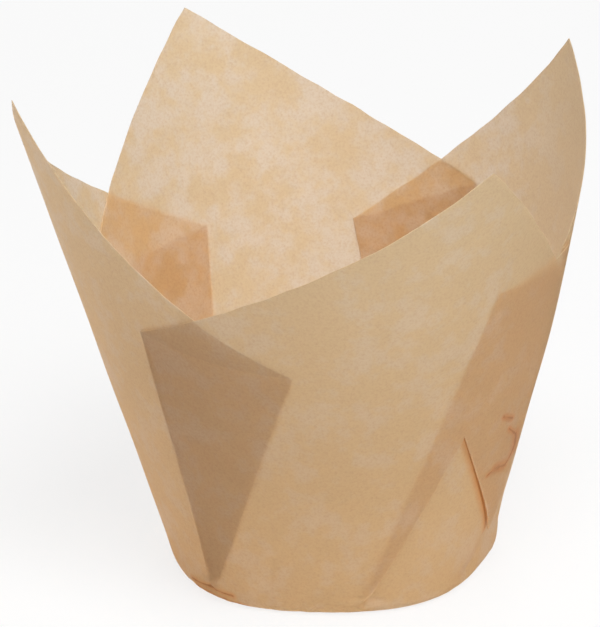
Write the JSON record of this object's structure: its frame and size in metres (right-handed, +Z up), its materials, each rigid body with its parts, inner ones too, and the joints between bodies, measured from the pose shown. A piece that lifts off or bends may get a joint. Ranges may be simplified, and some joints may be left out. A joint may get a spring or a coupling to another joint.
{
  "type": "baking cup",
  "caption": "Tulip-shaped baking cup of thin brown paper: one square sheet pressed round, with pointed petals and folded pleats between them.",
  "frame": {"origin": "centre of the flat underside of the cup, on the surface that it stands on", "axes": "+Z up along the cup's axis; the front of the cup, which the picture shows, faces -Y; +X to the right"},
  "size_m": [0.087, 0.0936, 0.081],
  "materials": {
    "paper": "unbleached greaseproof paper, matt, faintly mottled"
  },
  "bodies": {
    "root": {"liner": "paper"}
  },
  "joints": []
}
